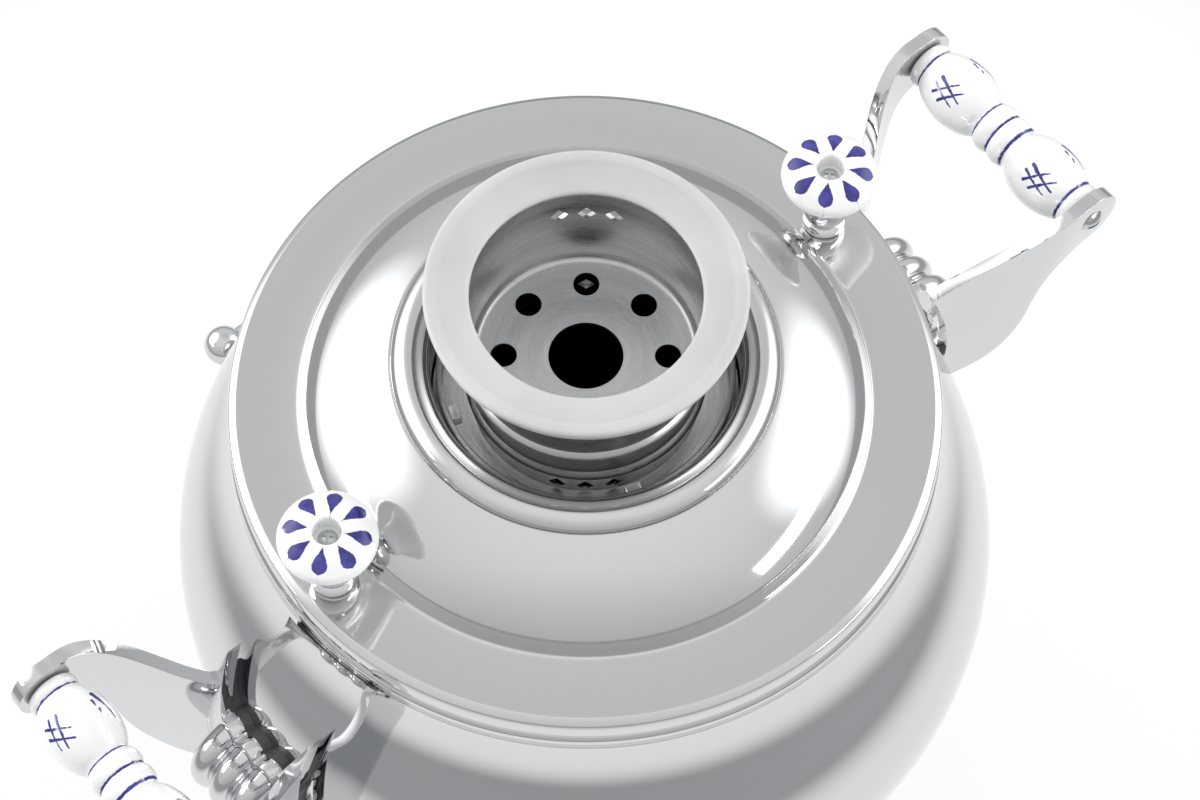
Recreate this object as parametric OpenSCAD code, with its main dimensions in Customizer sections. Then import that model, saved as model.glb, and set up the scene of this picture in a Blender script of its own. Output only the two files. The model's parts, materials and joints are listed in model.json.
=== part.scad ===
// Electric samovar with porcelain grips and lid knobs.
// Millimetres, +Z up, origin on the table under the urn's axis. The tap faces -Y and the handles lie along X.

/* [Urn] */
// Height of the lid's rim line above the table
rim_z = 295; // [280:1:320]
// Radius of the belly at its widest
belly_r = 133.7; // [130:0.1:136]
// Half height of the ellipse that the belly follows
belly_half_h = 105.2; // [102:0.1:108]
// Depth of the widest place below the rim line
belly_drop = 96.5; // [94:0.5:98]
// Thickness of the steel wall
wall = 1.6; // [1.2:0.1:2]
// Outer radius of the collar round the mouth
collar_r = 110; // [109.5:0.1:110.4]
// Inner radius of the mouth
mouth_r = 93.2; // [92.6:0.2:94]

/* [Lid] */
// Radius of the crease where the lid's edge turns down
crease_r = 107.2; // [106:0.2:108]
// Radius of the small step at the foot of the dome
step_r = 87.5; // [86:0.5:88]
// Radius of the crease where the dome meets the rolled neck
dome_top_r = 59; // [58:0.5:60]
// Inner radius of the neck
neck_r = 47; // [46.8:0.1:47.4]

/* [Lid knobs] */
// Distance of each knob from the urn's axis
knob_at = 97.3; // [96:0.1:98]
// Diameter of the porcelain button
knob_d = 30; // [28:0.5:31]
// Height of the button's top above the rim line
knob_top = 32; // [31:0.5:34]

/* [Steam crown] */
// Inner radius of the cup
cup_r = 34.2; // [33.5:0.1:34.6]
// Height of the cup's floor above the rim line
cup_floor = 24.4; // [23:0.2:26]
// Height of the silicone ring's outer edge above the rim line
crown_top = 65; // [63:0.5:67]
// Radius of the hole in the middle of the floor
vent_r = 11.3; // [10:0.1:12]
// Number of small holes round it
vent_count = 8; // [6:1:10]

/* [Handles] */
// Distance of the grip's axis from the urn's axis
grip_at = 179.1; // [177:0.1:181]
// Depth of the grip's axis below the rim line
grip_drop = 31.9; // [31:0.1:33]
// Length of the porcelain grip
grip_len = 75; // [72:0.5:76]
// Thickness of each cast arm
arm_t = 4.6; // [4:0.1:5]

/* [Tap] */
// Distance of the tap's plug from the urn's axis
tap_at = 164; // [162:0.5:168]
// Depth of the key's bar below the rim line
key_drop = 160.8; // [159:0.2:162]
// Half the distance between the two balls of the key
key_half = 34; // [32:0.5:35]
// Diameter of each ball
ball_d = 14.6; // [13:0.2:16]

/* [Base] */
// Radius of the base ring
base_r = 99; // [95:1:102]
// Height of the rubber ring under the base
foot_h = 4; // [3:0.5:5]

/* [Hidden] */
SIDES = ["right", "left"];
$fn = 96;

belly_z = rim_z - belly_drop;
waist_r = 55;
shoulder_z = rim_z - 50;
collar_foot = rim_z - 17;
gap = 0.3;
running = 0.05;

// The urn's outline.
// The belly is an ellipse up to the shoulder, and a cove rises from there to the collar.
shoulder_t = asin((shoulder_z - belly_z) / belly_half_h);
waist_t = -acos(waist_r / belly_r);
function belly(t) = [belly_r * cos(t), belly_z + belly_half_h * sin(t)];
function belly_out(t) = unit([cos(t) / belly_r, sin(t) / belly_half_h]);
function unit(v) = v / norm(v);
function bezier(a, b, c, d, u) =
    pow(1 - u, 3) * a + 3 * u * pow(1 - u, 2) * b + 3 * u * u * (1 - u) * c + pow(u, 3) * d;
function bezier_way(a, b, c, d, u) =
    unit(pow(1 - u, 2) * (b - a) + 2 * u * (1 - u) * (c - b) + u * u * (d - c));
function turned(v) = [v[1], -v[0]];
function reversed(list) = [for (i = [len(list) - 1:-1:0]) list[i]];

cove_a = belly(shoulder_t);
cove_d = [collar_r - 0.6, collar_foot];
cove_b = cove_a + 12 * unit([-belly_r * sin(shoulder_t), belly_half_h * cos(shoulder_t)]);
cove_c = cove_d - [0, 13];

// The urn's outline moved outwards by off, from angle t0 on the belly up to the collar.
function belly_line(off, t0, t1, n = 30) =
    [for (i = [0:n]) let (t = t0 + (t1 - t0) * i / n) belly(t) + off * belly_out(t)];
function cove_line(off, n = 8) =
    [for (i = [1:n]) let (u = i / n)
        bezier(cove_a, cove_b, cove_c, cove_d, u) + off * turned(bezier_way(cove_a, cove_b, cove_c, cove_d, u))];
function urn_line(off) = concat(belly_line(off, waist_t, shoulder_t), cove_line(off));

// A layer that follows the urn's wall, between two distances from its outer face.
module urn_layer(low, high) {
    rotate_extrude() polygon(concat(urn_line(high), reversed(urn_line(low))));
}

// Everything inside the urn's outline moved outwards by off, for trimming what is mounted on it.
module urn_solid(off) {
    line = urn_line(off);
    rotate_extrude() polygon(concat([[0, line[0][1]]], line, [[0, line[len(line) - 1][1]]]));
}

module ring(r_out, r_in, z0, z1) {
    rotate_extrude() translate([r_in, z0]) square([r_out - r_in, z1 - z0]);
}

// The handle mounts' centre on the belly, and the tap's axis.
mount_z = belly_z + 2;
tap_z = rim_z - key_drop - 19.7;
tap_wall_r = belly_r * sqrt(1 - pow((tap_z - belly_z) / belly_half_h, 2));
pipe_r = 7.5;
pipe_bore = 4.5;
tap_hole_r = pipe_r + 0.2;
rosette_face = tap_wall_r + 32;

// Urn.
module body_shell() {
    color("gainsboro") difference() {
        urn_layer(-wall, 0);
        translate([0, 0, tap_z]) rotate([90, 0, 0]) cylinder(r = tap_hole_r, h = belly_r + 10);
        for (s = [-1, 1]) translate([0, 0, mount_z]) rotate([0, s * 90, 0]) cylinder(r = boss_bolt_r + 0.2, h = belly_r + 10);
    }
}

// The turned collar: a bead outside and a flat flange that the lid's seal rests on.
flange_z = rim_z - 9.4;
module collar_ring() {
    color("gainsboro") rotate_extrude() polygon([
        [collar_r - 2.2, collar_foot + 0.05], [collar_r - 0.2, collar_foot + 0.05], [collar_r + 0.4, collar_foot + 1.2],
        [collar_r + 0.4, flange_z - 1.4], [collar_r - 0.6, flange_z], [mouth_r, flange_z],
        [mouth_r, flange_z - 9], [mouth_r + 1.4, flange_z - 9], [mouth_r + 1.4, flange_z - 1.6],
        [collar_r - 2.2, flange_z - 1.6]
    ]);
}

floor_z = rim_z - belly_drop + belly_half_h * sin(waist_t);
floor_t = 2;
leg_at = [[9, -37], [-9, -37]];
coil_r = norm(leg_at[0]);
coil_z = floor_z + 16;
tube_r = 4.2;
module tank_floor() {
    color("silver") difference() {
        ring(waist_r - wall - 0.05, 0.001, floor_z + 0.5, floor_z + 0.5 + floor_t);
        for (p = leg_at) translate([p[0], p[1], floor_z - 5]) cylinder(r = tube_r + 0.1, h = 12);
    }
}

// A ring of sheathed heating tube between two legs that pass down through the floor.
module heating_element() {
    start = atan2(leg_at[0][1], leg_at[0][0]);
    sweep = 360 - 2 * (start + 90);
    color("dimgray") {
        translate([0, 0, coil_z]) rotate([0, 0, start])
            rotate_extrude(angle = sweep) translate([coil_r, 0]) circle(r = tube_r - 0.2, $fn = 32);
        for (p = leg_at) translate([p[0], p[1], floor_z - 14]) {
            cylinder(r = tube_r, h = coil_z - floor_z + 19, $fn = 32);
            translate([0, 0, -9]) cylinder(r = 1.6, h = 9.001, $fn = 24);
        }
    }
}

module around_legs(r_out, z0, h, sides) {
    for (p = leg_at) translate([p[0], p[1], z0]) difference() {
        cylinder(r = r_out, h = h, $fn = sides);
        translate([0, 0, -1]) cylinder(r = tube_r + 0.1, h = h + 2, $fn = 32);
    }
}
module element_seals() {
    color("salmon") around_legs(7.5, floor_z + 0.5 + floor_t, 2, 48);
}
module element_nuts() {
    color("goldenrod") around_legs(8, floor_z - 4, 4.48, 6);
}
module thermal_cutout() {
    color("wheat") translate([0, 18, floor_z - 7.5]) {
        cylinder(r = 9, h = 7.98);
        for (s = [-1, 1]) translate([s * 5 - 0.4, -3, -8]) cube([0.8, 6, 8.001]);
    }
}

// Base.
// The pedestal is a turned foot: a waist ring, a cove, and a stepped skirt.
pedestal_top = floor_z + 0.8;
pedestal_foot = foot_h + 12;
skirt_r = base_r - 6;
cap_r = waist_r + 2.5;
skirt_h = 28;
function pedestal_line(off) = concat(
    [for (i = [0:12]) bezier([skirt_r - 1.5, pedestal_foot + skirt_h + 2], [skirt_r - 10, pedestal_foot + skirt_h + 16],
        [cap_r - 3, pedestal_top - 32], [cap_r, pedestal_top - 10], i / 12) + [off, 0]],
    [[cap_r + off, pedestal_top + off * 0.37]]);
module base_pedestal() {
    outer = concat([[skirt_r + 1.5, pedestal_foot], [skirt_r + 1.5, pedestal_foot + skirt_h - 2], [skirt_r, pedestal_foot + skirt_h]],
        pedestal_line(0));
    inner = concat([[skirt_r - 0.1, pedestal_foot], [skirt_r - 0.1, pedestal_foot + skirt_h - 3], [skirt_r - 2 * wall, pedestal_foot + skirt_h - 1]],
        pedestal_line(-wall));
    color("gainsboro") difference() {
        rotate_extrude() polygon(concat(outer, reversed(inner)));
        translate([0, 0, dial_z]) rotate([90, 0, 0]) cylinder(r = 4, h = base_r);
        translate([pilot_x, 0, dial_z]) rotate([90, 0, 0]) cylinder(r = 4.4, h = base_r);
        translate([-inlet_w / 2 - 0.2, 0, inlet_z - inlet_h / 2 - 0.2]) cube([inlet_w + 0.4, base_r, inlet_h + 0.4]);
        for (s = [-1, 1]) translate([s * inlet_screw_x, 0, inlet_z]) rotate([-90, 0, 0]) cylinder(r = 1.7, h = base_r, $fn = 32);
    }
}

module base_ring() {
    color("gainsboro") rotate_extrude() polygon([
        [skirt_r - 8, foot_h], [base_r - 2, foot_h], [base_r, foot_h + 2], [base_r, foot_h + 7],
        [base_r - 1.5, foot_h + 9.5], [skirt_r + 1.5, foot_h + 12], [skirt_r - 2, foot_h + 12],
        [skirt_r - 2, foot_h + 3], [skirt_r - 8, foot_h + 3]
    ]);
}
module bottom_plate() {
    color("dimgray") difference() {
        ring(skirt_r - 8.2, 0.001, foot_h, foot_h + 2);
        for (k = [0:11]) rotate([0, 0, k * 30]) translate([30, -1.5, 0]) cube([26, 3, 12]);
        for (k = [0:3]) rotate([0, 0, k * 90 + 45]) translate([plate_screw_r, 0, 0]) cylinder(r = 2, h = 12, $fn = 32);
    }
}
plate_screw_r = 74;
module bottom_screws() {
    color("silver") for (k = [0:3]) rotate([0, 0, k * 90 + 45]) translate([plate_screw_r, 0, foot_h - 1.8]) difference() {
        union() {
            cylinder(r = 3.4, h = 1.8, $fn = 32);
            cylinder(r = 1.9, h = 14, $fn = 32);
        }
        for (a = [0, 90]) rotate([0, 0, a]) translate([-2, -0.4, -0.01]) cube([4, 0.8, 0.9]);
    }
}
module foot_ring() {
    color("black") ring(base_r - 4, skirt_r - 8, 0, foot_h - 0.001);
}

// Controls, at the front of the pedestal's skirt.
dial_z = pedestal_foot + skirt_h / 2 - 1;
pilot_x = 34;
dial_y = -(skirt_r + 1.5);
module thermostat() {
    color("slategray") translate([0, 0, dial_z]) rotate([90, 0, 0]) difference() {
        union() {
            translate([-14, -5, 60]) cube([28, 20, 24]);
            cylinder(r = 3.5, h = skirt_r - 2, $fn = 32);
            translate([0, 0, 60]) cylinder(r = 3, h = skirt_r + 10 - 60, $fn = 32);
        }
        translate([-20, -10, -1]) cube([40, 40, 61]);
    }
}
module dial() {
    color("dimgray") translate([0, dial_y - 0.6, dial_z]) rotate([90, 0, 0]) difference() {
        union() {
            cylinder(r = 11, h = 3);
            translate([0, 0, 2.99]) cylinder(r = 9, h = 10);
            for (k = [0:11]) rotate([0, 0, k * 30 + 15]) translate([8.6, 0, 3]) cylinder(r = 0.9, h = 9, $fn = 16);
            translate([-0.9, 3, 12.9]) cube([1.8, 5.5, 0.7]);
        }
        translate([0, 0, -0.01]) cylinder(r = 3 + running, h = 12, $fn = 32);
    }
}
module pilot_lens() {
    color("orangered") translate([pilot_x, pilot_y + 3, dial_z]) rotate([90, 0, 0]) {
        cylinder(r = 3.4, h = 5);
        translate([0, 0, 4.9]) cylinder(r1 = 3.4, r2 = 2, h = 1.6);
    }
}
pilot_y = -sqrt(pow(skirt_r + 1.5, 2) - pilot_x * pilot_x);
module pilot_bezel() {
    color("silver") translate([pilot_x, pilot_y + 3, dial_z]) rotate([90, 0, 0]) difference() {
        union() {
            cylinder(r = 4.2, h = 4, $fn = 48);
            translate([0, 0, 6]) cylinder(r = 5.6, h = 1.4, $fn = 48);
            cylinder(r = 4.2, h = 7, $fn = 48);
        }
        translate([0, 0, -1]) cylinder(r = 3.45, h = 12, $fn = 48);
    }
}

// Mains inlet, at the back.
inlet_w = 28;
inlet_h = 20;
inlet_z = dial_z + 0.6;
inlet_y = 66;
inlet_face = skirt_r + 4.6;
inlet_screw_x = inlet_w / 2 + 5;
module inlet_housing() {
    color("black") difference() {
        union() {
            translate([-inlet_w / 2, inlet_y, inlet_z - inlet_h / 2]) cube([inlet_w, inlet_face - inlet_y, inlet_h]);
            translate([-inlet_w / 2 - 9, inlet_face - 3, inlet_z - inlet_h / 2 - 3]) cube([inlet_w + 18, 3, inlet_h + 6]);
        }
        translate([-inlet_w / 2 + 2, inlet_y + 12, inlet_z - inlet_h / 2 + 2]) cube([inlet_w - 4, 40, inlet_h - 4]);
        for (p = pin_at) translate([p[0] - 1.05, inlet_y - 6, inlet_z + p[1] - 2.05]) cube([2.1, 30, 4.1]);
        for (s = [-1, 1]) translate([s * inlet_screw_x, inlet_face - 10, inlet_z]) rotate([-90, 0, 0]) cylinder(r = 1.7, h = 20, $fn = 32);
    }
}
pin_at = [[-7, -1.5], [0, 2.5], [7, -1.5]];
module inlet_pins() {
    color("goldenrod") for (p = pin_at) translate([p[0] - 1, inlet_y - 5, inlet_z + p[1] - 2]) cube([2, 31, 4]);
}
module inlet_screws() {
    color("silver") for (s = [-1, 1]) translate([s * inlet_screw_x, inlet_face, inlet_z]) rotate([-90, 0, 0]) difference() {
        union() {
            cylinder(r1 = 3, r2 = 2.4, h = 1.6, $fn = 32);
            translate([0, 0, -12]) cylinder(r = 1.6, h = 12.01, $fn = 32);
        }
        translate([-1.7, -0.4, 1]) cube([3.4, 0.8, 1]);
    }
}

// Tap.
barrel_r = 12;
barrel_low = tap_z - 17;
barrel_high = tap_z + 9.5;
plug_r = 8;
nut_thick = 4.5;
module tap_body() {
    color("gainsboro") difference() {
        union() {
            translate([0, -tap_wall_r + 23, tap_z]) rotate([90, 0, 0]) cylinder(r = pipe_r, h = tap_at - tap_wall_r + 23);
            translate([0, -rosette_face, tap_z]) rotate([90, 0, 0]) cylinder(r = pipe_r + 2.4, h = 3);
            translate([0, -tap_at, barrel_low]) cylinder(r = barrel_r, h = barrel_high - barrel_low);
            translate([0, -tap_at, barrel_low]) ring(barrel_r + 1.2, 2, 2, 5);
            translate([0, -tap_at, barrel_high - 5]) ring(barrel_r + 1.2, 2, 0, 3);
            spout(pipe_r, 0);
        }
        translate([0, -tap_wall_r + 24, tap_z]) rotate([90, 0, 0]) cylinder(r = pipe_bore, h = tap_at - tap_wall_r + 24);
        translate([0, -tap_at, barrel_low - 1]) cylinder(r = plug_r, h = barrel_high - barrel_low + 2);
        spout(pipe_bore, 0.02);
    }
}
// The spout: a short straight run forwards, then a quarter turn down to the outlet.
spout_run = 8;
spout_bend = 10;
spout_drop = 16;
module spout(r, over) {
    out_y = -tap_at - spout_run - spout_bend;
    low_z = tap_z - spout_bend - spout_drop;
    translate([0, -tap_at, tap_z]) rotate([90, 0, 0]) cylinder(r = r, h = spout_run);
    translate([0, -tap_at - spout_run, tap_z - spout_bend]) rotate([90, 0, -90])
        rotate_extrude(angle = 90) translate([spout_bend, 0]) circle(r = r, $fn = 48);
    translate([0, out_y, low_z - over]) cylinder(r = r, h = spout_drop + over + 0.01);
    if (r == pipe_r) translate([0, out_y, low_z]) cylinder(r = r + 1.2, h = 3);
}
// The rosette and its gasket fill the wedge between the sloping wall and the tap's round nut face.
module tap_layer(r, low, high) {
    difference() {
        intersection() {
            urn_layer(low, high);
            translate([0, 0, tap_z]) rotate([90, 0, 0]) cylinder(r = r, h = belly_r + 20);
        }
        translate([0, 0, tap_z]) rotate([90, 0, 0]) cylinder(r = pipe_r + 0.1, h = belly_r + 20);
        translate([-r, -belly_r, 0]) cube([2 * r, belly_r, pedestal_top + gap]);
    }
}
module tap_gasket() {
    color("dimgray") tap_layer(15, 0.02, 1.4);
}
module tap_rosette() {
    color("gainsboro") difference() {
        translate([0, 0, tap_z]) rotate([90, 0, 0]) {
            cylinder(r = 14, h = rosette_face - 5);
            translate([0, 0, rosette_face - 5.01]) cylinder(r1 = 12.5, r2 = 10.5, h = 5);
        }
        urn_solid(1.42);
        translate([0, 0, tap_z]) rotate([90, 0, 0]) cylinder(r = pipe_r + 0.1, h = belly_r + 20);
        translate([0, 0, tap_z]) rotate([90, 0, 0]) translate([0, 0, -1]) cylinder(r = 30, h = 60);
    }
}
// Inside: a nut with a face that matches the sloping wall.
module tap_inner_nut() {
    color("goldenrod") intersection() {
        translate([0, 0, tap_z]) rotate([90, 0, 0]) difference() {
            translate([0, 0, tap_wall_r - 22]) cylinder(r = 12, h = 50, $fn = 6);
            cylinder(r = pipe_r + 0.1, h = 200);
        }
        urn_solid(-wall - 0.05);
    }
}
stem_r = 4;
module tap_cap_nut() {
    color("gainsboro") translate([0, -tap_at, barrel_high + 0.02]) difference() {
        union() {
            cylinder(r = barrel_r - 1, h = nut_thick, $fn = 6);
            cylinder(r = barrel_r - 2.4, h = nut_thick + 1.4);
        }
        translate([0, 0, -1]) cylinder(r = stem_r + running, h = 20);
    }
}
key_z = rim_z - key_drop;
module tap_plug() {
    color("goldenrod") translate([0, -tap_at, 0]) difference() {
        union() {
            translate([0, 0, barrel_low - 3]) cylinder(r = plug_r - running, h = barrel_high - barrel_low + 2.7);
            translate([0, 0, barrel_high - 0.31]) cylinder(r = stem_r, h = key_z - barrel_high + 1.3);
            translate([0, 0, barrel_low - 8]) cylinder(r = 3, h = 5.01);
        }
        translate([-20, 0, tap_z]) rotate([0, 90, 0]) cylinder(r = pipe_bore - 0.4, h = 40);
    }
}
module tap_plug_nut() {
    color("silver") translate([0, -tap_at, barrel_low - 7.5]) difference() {
        union() {
            translate([0, 0, 2.5]) cylinder(r = plug_r - 1, h = 2);
            cylinder(r = 6.4, h = 3.4, $fn = 6);
        }
        translate([0, 0, -1]) cylinder(r = 3.01, h = 20);
    }
}
// The key: a hub on the stem with a bar through it and a ball at each end.
module tap_key_bar() {
    color("gainsboro") translate([0, -tap_at, key_z]) difference() {
        union() {
            rotate([0, 90, 0]) translate([0, 0, -key_half + ball_d / 2 - 4]) cylinder(r = 3, h = 2 * key_half - ball_d + 8);
            translate([0, 0, -3.9]) cylinder(r = 6, h = 8.9);
            translate([0, 0, 5]) intersection() {
                sphere(r = 6);
                translate([0, 0, 5]) cube([14, 14, 10], center = true);
            }
            for (s = [-1, 1]) translate([s * 13, 0, 0]) rotate([0, 90, 0]) cylinder(r = 4, h = 2.4, center = true);
        }
        translate([0, 0, -5]) cylinder(r = stem_r + 0.02, h = 6.02);
    }
}
module tap_key_balls() {
    color("gainsboro") for (s = [-1, 1]) translate([s * key_half, -tap_at, key_z]) difference() {
        sphere(d = ball_d);
        rotate([0, s * -90, 0]) translate([0, 0, ball_d / 2 - 4.02]) cylinder(r = 3.02, h = ball_d);
    }
}

// Handles.
// One side's parts are drawn at +X. The other side is turned half round the urn's axis.
module on_side(side) {
    rotate([0, 0, side == "right" ? 0 : 180]) children();
}

grip_z = rim_z - grip_drop;
boss_bolt_r = 3;
face_y = grip_len / 2 + 0.6;
foot_y = 17.5;
// The arm's centre line seen from above: parallel to the grip's end face, then drawn in towards the mount.
arm_plan = [[120, foot_y], [143, foot_y], [150, face_y + arm_t / 2], [172, face_y + arm_t / 2]];
arm_plan_end = [grip_at + 14, face_y + arm_t / 2];
function arm_line(off) = concat(
    [for (i = [0:12]) let (u = i / 12) bezier(arm_plan[0], arm_plan[1], arm_plan[2], arm_plan[3], u)
        - off * turned(bezier_way(arm_plan[0], arm_plan[1], arm_plan[2], arm_plan[3], u))],
    [arm_plan_end + [0, off]]);
// The arm's side outline, seen along Y: a wing that narrows to a round eye at the grip.
eye_r = 10.6;
function arc(c, r, a0, a1, n) = [for (i = [0:n]) let (a = a0 + (a1 - a0) * i / n) c + r * [cos(a), sin(a)]];
function curve(a, b, c, d, n) = [for (i = [1:n]) bezier(a, b, c, d, i / n)];
module arm_outline() {
    eye = [grip_at, -grip_drop];
    start = eye + eye_r * [cos(-95), sin(-95)];
    stop = eye + eye_r * [cos(100), sin(100)];
    wing_low = [160.5, -70];
    root_low = [132, -124];
    root_high = [117, -66];
    polygon(concat(
        arc(eye, eye_r, -95, 100, 16),
        curve(stop, [157, -19], [147, -47], [134, -59], 12),
        [root_high, [112, -90], [118, -126], root_low],
        curve(root_low, [147, -112], [157, -96], wing_low, 8),
        curve(wing_low, [163.5, -50], [168, -44], start, 8)
    ));
}
module arm(mirrored) {
    m = mirrored ? -1 : 1;
    color("gainsboro") difference() {
        intersection() {
            translate([0, 100, rim_z]) rotate([90, 0, 0]) linear_extrude(height = 200) arm_outline();
            scale([1, m, 1]) translate([0, 0, 100])
                linear_extrude(height = 250) polygon(concat(arm_line(arm_t / 2), reversed(arm_line(-arm_t / 2))));
        }
        urn_solid(plate_out);
        translate([grip_at, 0, grip_z]) rotate([90, 0, 0]) cylinder(r = 2.6, h = 200, center = true, $fn = 48);
    }
}

// The scalloped mounting plate and the gasket under it follow the belly. Each has three lobes between two horns.
gasket_out = 3;
plate_out = 7.5;
horn_y = 20.6;
plate_horn = 45;
gasket_horn = 35;
lobe_pitch = 9.6;
function scallops(grow, horn) = let (
    near = 27,
    half = concat(
        arc([0, 16], 6 + grow, 90, 44, 6),
        arc([lobe_pitch, 16], 6 + grow, 136, 60, 8),
        [[15.6 - grow, near], [17.4 - grow, (near + horn) / 2], [horn_y, horn + grow], [horn_y + 0.8 + grow, (near + horn) / 2],
         [horn_y + 0.6 + grow, near]],
        arc([15.4, 16.5], 4.8 + grow, 30, -30, 5),
        arc([13, 0], 7.5 + grow, 35, -35, 6),
        arc([12.5, -18], 5.5 + grow, 30, -20, 4),
        arc([0, -22], 5 + grow, -40, -90, 4)
    ))
    concat(half, [for (i = [len(half) - 2:-1:1]) [-half[i][0], half[i][1]]]);
module mount_layer(low, high, grow, horn) {
    difference() {
        intersection() {
            urn_layer(low, high);
            translate([60, 0, mount_z]) rotate([90, 0, 90]) linear_extrude(height = 100) polygon(scallops(grow, horn));
        }
        translate([60, 0, mount_z]) rotate([0, 90, 0]) cylinder(r = boss_bolt_r + 0.1, h = 100);
    }
}
module escutcheon() {
    color("gainsboro") mount_layer(gasket_out + 0.02, plate_out - 0.02, 0, plate_horn);
}
module handle_gasket() {
    color("dimgray") mount_layer(0.02, gasket_out, 0.5, gasket_horn);
}
// A fluted barrel lies between the arms, one rib below each lobe of the plate, with its bolt through the wall.
barrel_x = 136;
barrel_lift = 3;
rib_r = 4.6;
barrel_core = 12.6;
module boss() {
    end_y = lobe_pitch + rib_r;
    color("gainsboro") {
        difference() {
            translate([barrel_x, 0, mount_z + barrel_lift]) rotate([90, 0, 0]) union() {
                translate([0, 0, -end_y]) cylinder(r = barrel_core + 0.6, h = 2 * end_y);
                for (k = [-1:1]) rotate_extrude() translate([barrel_core, k * lobe_pitch]) circle(r = rib_r, $fn = 48);
            }
            urn_solid(plate_out + 0.1);
        }
        translate([belly_r - 14, 0, mount_z]) rotate([0, 90, 0]) cylinder(r = boss_bolt_r, h = 30, $fn = 48);
        translate([belly_r - wall - 8, 0, mount_z]) rotate([0, 90, 0]) cylinder(r = 7, h = 5, $fn = 6);
    }
}

// The porcelain grip: two long bulges with a ribbed waist, turned about its own axis.
end_r = 8.2;
bulge_r = 11.2;
module grip() {
    half = grip_len / 2;
    side = concat(
        [[half, end_r - 0.8], [half - 0.6, end_r]],
        [for (i = [0:1]) [half - 3.4 - i * 0.6, end_r + 0.1 - i * 0.5]],
        [for (i = [1:14]) bezier([half - 4.6, end_r - 0.1], [half - 12, bulge_r + 2.2], [14, bulge_r + 1.6], [8.4, 7.9], i / 14)],
        [[7.2, 8.5], [5.6, 9], [3.6, 9], [1.6, 8.7], [0.5, 8]]
    );
    color("white") translate([grip_at, 0, grip_z]) rotate([90, 0, 0]) rotate_extrude()
        polygon(concat(
            [for (i = [len(side) - 1:-1:0]) [side[i][1], -side[i][0]]],
            [[2.7, -half], [2.7, half]],
            [for (i = [0:len(side) - 1]) [side[i][1], side[i][0]]]
        ));
}
module grip_rod() {
    reach = face_y + arm_t - 1;
    color("silver") translate([grip_at, 0, grip_z]) rotate([90, 0, 0]) difference() {
        cylinder(r = 2.4, h = 2 * reach, center = true, $fn = 48);
        for (s = [-1, 1]) translate([0, 0, s * reach]) cylinder(r = 1.3, h = 24, center = true, $fn = 32);
    }
}
module grip_screws() {
    color("silver") for (s = [-1, 1]) translate([grip_at, s * (face_y + arm_t + 0.02), grip_z]) rotate([s * -90, 0, 0])
        difference() {
            union() {
                intersection() {
                    translate([0, 0, -3.6]) sphere(r = 5.6, $fn = 64);
                    cylinder(r = 4.2, h = 4, $fn = 64);
                }
                translate([0, 0, -9]) cylinder(r = 1.25, h = 9.1, $fn = 32);
            }
            translate([-5, -0.5, 1.1]) cube([10, 1, 3]);
        }
}

// Lid.
band_z = rim_z - 8.6;
lid_t = 1.4;
dome_foot = [step_r - 1.8, rim_z + 6];
dome_head = [dome_top_r, rim_z + 23.6];
function dome_line(drop) = [for (i = [0:16])
    bezier(dome_foot, dome_foot + [-6, 8], dome_head + [11, -3.2], dome_head, i / 16) - [drop * 0.5, drop]];
module lid_shell() {
    top = concat(
        [[collar_r, band_z], [collar_r, rim_z - 3.4], [collar_r - 0.6, rim_z - 1.4], [crease_r, rim_z]],
        [for (i = [1:5]) [crease_r + (step_r + 0.4 - crease_r) * i / 6, rim_z - 0.5 * sin(i * 30)]],
        [[step_r, rim_z + 1], [step_r - 0.6, rim_z + 3]],
        dome_line(0)
    );
    under = concat(
        [[collar_r - lid_t, band_z], [collar_r - lid_t, rim_z - 3.6], [crease_r - 0.4, rim_z - lid_t]],
        [[step_r - 1, rim_z - lid_t]],
        dome_line(lid_t)
    );
    color("gainsboro") difference() {
        rotate_extrude() polygon(concat(top, reversed(under)));
        for (s = [-1, 1]) translate([s * knob_at, 0, rim_z - 10]) cylinder(r = 2.2, h = 20, $fn = 48);
    }
}
// A skirt under the lid that drops inside the mouth, and a soft seal that rests on the flange.
skirt_lid_r = mouth_r - 0.8;
seal_in = knob_at + 4.8;
module lid_skirt() {
    color("silver") rotate_extrude() polygon([
        [skirt_lid_r, rim_z - lid_t - 0.05], [skirt_lid_r, rim_z - 22], [skirt_lid_r - 1.2, rim_z - 22],
        [skirt_lid_r - 1.2, rim_z - 10], [skirt_lid_r - 4, rim_z - 9], [skirt_lid_r - 4, rim_z - lid_t - 0.05]
    ]);
}
module lid_seal() {
    color("whitesmoke") ring(collar_r - lid_t - 0.1, seal_in, flange_z + gap, rim_z - 5.5);
}
// The rolled neck: a bright round roll, a straight throat, and a ledge that the crown stands on.
roll_r = 6;
ledge_z = rim_z + 3;
module neck_ring() {
    c = [neck_r + roll_r + 0.2, rim_z + 21.6];
    color("gainsboro") rotate_extrude() polygon(concat(
        [[dome_top_r - 0.8, rim_z + 22.1], [dome_top_r - 0.1, rim_z + 23.5]],
        arc(c, roll_r, 24, 180, 14),
        [[neck_r, c[1] - 2], [neck_r, ledge_z], [neck_r - 7, ledge_z], [neck_r - 7, ledge_z - 1.4],
         [neck_r + 1.4, ledge_z - 1.4], [neck_r + 1.4, c[1] - 2]],
        reversed(arc(c, roll_r - 1.4, 20, 170, 12))
    ));
}

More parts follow.
